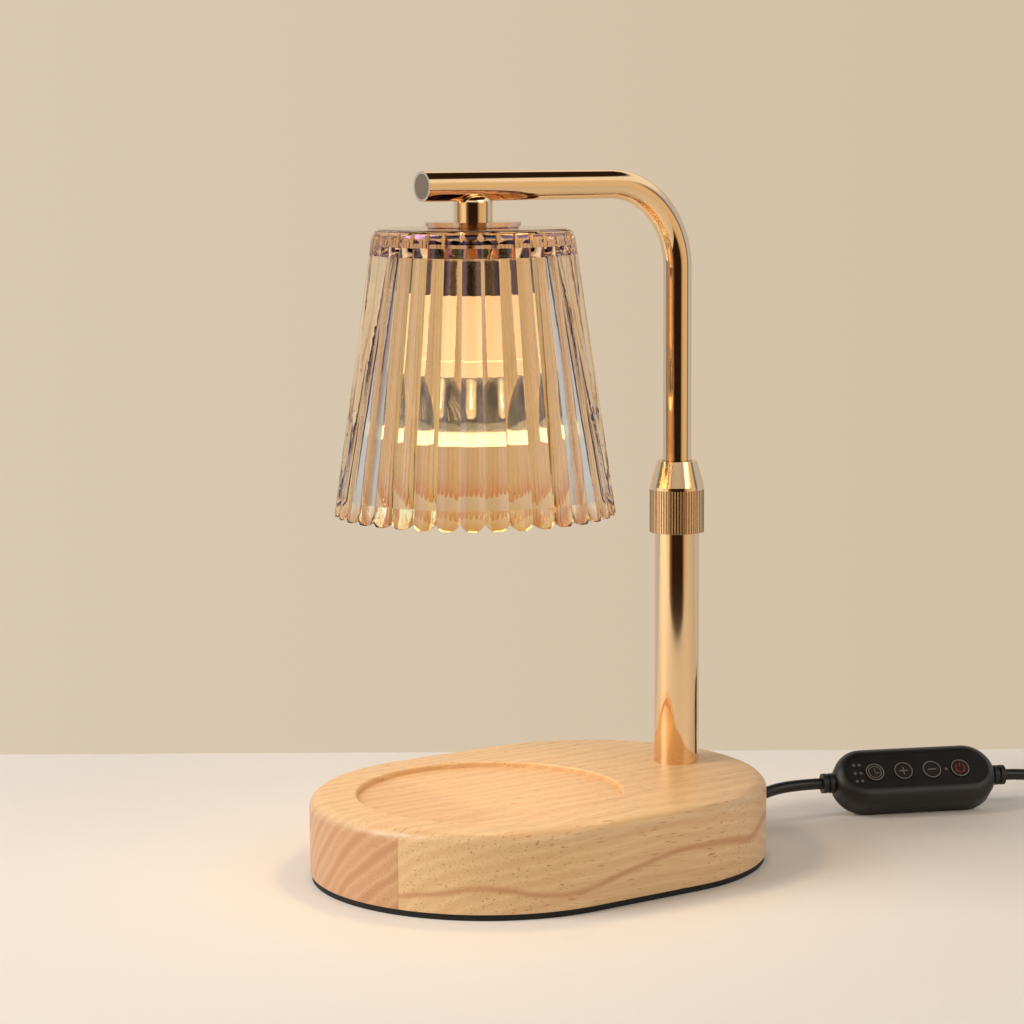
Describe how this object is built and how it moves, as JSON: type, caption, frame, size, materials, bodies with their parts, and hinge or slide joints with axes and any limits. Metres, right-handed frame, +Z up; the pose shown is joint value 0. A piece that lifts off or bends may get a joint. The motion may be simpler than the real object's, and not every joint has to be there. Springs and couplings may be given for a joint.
{
  "type": "candle warmer lamp",
  "caption": "Candle warmer lamp: wooden base with a recess, telescopic plated pole with a gooseneck arm, ribbed glass shade over a reflector bulb, corded inline timer and dimmer.",
  "frame": {"origin": "bottom centre of the base, on the surface it stands on", "axes": "+Z up, +X from the shade towards the pole, +Y across the base"},
  "size_m": [0.5023, 0.1682, 0.2855],
  "materials": {
    "wood": "lacquered pale rubberwood",
    "black_pad": "matte foam rubber",
    "steel": "zinc plated",
    "plated": "polished champagne gold plating",
    "brass": "turned",
    "nylon": "moulded nylon",
    "amber_glass": "pressed amber lustre glass",
    "clear_glass": "clear",
    "silicone": "soft silicone",
    "dark_metal": "dark threaded metal",
    "ceramic": "glazed ceramic",
    "lead_sleeve": "woven sleeve",
    "black_cord": "smooth round cord",
    "black_rubber": "moulded",
    "black_plastic": "fine matte moulding",
    "black_plate": "satin overlay",
    "button_grey": "satin with pale ring",
    "button_red": "satin with red sign",
    "circuit_board": "solder mask",
    "light_pipe": "clear pipe"
  },
  "bodies": {
    "base": {"wood_base": "wood", "base_pad": "black_pad", "post_nipple": "steel", "post_washer": "steel", "post_nut": "steel", "foot_bush": "steel", "lower_tube": "plated", "clamp_sleeve": "brass", "collet": "nylon", "pole_lead": "lead_sleeve", "wire_connectors": "nylon", "cord_inside": "black_cord", "cord_gland": "black_rubber", "cord_grip": "nylon", "grip_screws": "steel", "switch_face_shell": "black_plastic", "switch_back_shell": "black_plastic", "switch_screws": "steel", "switch_plate": "black_plate", "switch_board": "circuit_board", "tact_switches": "black_plastic", "indicator_lights": "light_pipe", "dimmer_parts": "black_plastic", "switch_collar_near": "black_rubber", "switch_collar_far": "black_rubber", "cord_in_switch": "black_cord", "cord_lamp_side": "black_cord", "cord_plug_side": "black_cord", "cord_coil": "black_cord", "cord_tail": "black_cord", "plug_relief": "black_rubber", "plug_body": "black_plastic", "plug_blades": "brass"},
    "stop_sleeve": {"stop_sleeve": "nylon"},
    "arm": {"upper_tube": "plated", "arm_end_cap": "steel", "stop_clips": "steel", "shade_stem": "plated", "stem_stud": "steel", "glass_shade": "amber_glass", "shade_gasket": "silicone", "shade_nut": "steel", "holder_shell": "dark_metal", "lock_nut": "steel", "lamp_socket": "ceramic", "keyhole_plate": "steel", "socket_contacts": "brass", "arm_lead": "lead_sleeve"},
    "bulb": {"bulb_base": "ceramic", "bulb_pins": "steel", "bulb_reflector": "clear_glass", "bulb_lens": "clear_glass", "bulb_capsule": "clear_glass", "bulb_filament": "steel"},
    "clamp_nut": {"clamp_nut": "plated", "thrust_ring": "nylon"},
    "timer_button": {"timer_button": "button_grey"},
    "plus_button": {"plus_button": "button_grey"},
    "minus_button": {"minus_button": "button_grey"},
    "power_button": {"power_button": "button_red"}
  },
  "joints": [
    {"name": "arm_height", "type": "slide", "parent": "base", "child": "stop_sleeve", "axis": [0, 0, 1], "range_m": [-0.05, 0.02], "deforming": ["pole_lead"]},
    {"name": "arm_swivel", "type": "hinge", "parent": "stop_sleeve", "child": "arm", "pos_m": [0.0712, 0, 0.2], "axis": [0, 0, 1], "range_deg": [-170, 170]},
    {"name": "bulb_twist", "type": "hinge", "parent": "arm", "child": "bulb", "pos_m": [-0.0316, 0, 0.205], "axis": [0, 0, 1], "range_deg": [0, 25]},
    {"name": "clamp_turn", "type": "hinge", "parent": "base", "child": "clamp_nut", "pos_m": [0.0712, 0, 0.148], "axis": [0, 0, 1], "range_deg": [0, 360]},
    {"name": "timer_press", "type": "slide", "parent": "base", "child": "timer_button", "axis": [0.2989, 0.6778, -0.6717], "range_m": [0, 0.0004], "stiffness_N_per_m": 400},
    {"name": "plus_press", "type": "slide", "parent": "base", "child": "plus_button", "axis": [0.2989, 0.6778, -0.6717], "range_m": [0, 0.0004], "stiffness_N_per_m": 400},
    {"name": "minus_press", "type": "slide", "parent": "base", "child": "minus_button", "axis": [0.2989, 0.6778, -0.6717], "range_m": [0, 0.0004], "stiffness_N_per_m": 400},
    {"name": "power_press", "type": "slide", "parent": "base", "child": "power_button", "axis": [0.2989, 0.6778, -0.6717], "range_m": [0, 0.0004], "stiffness_N_per_m": 400}
  ]
}
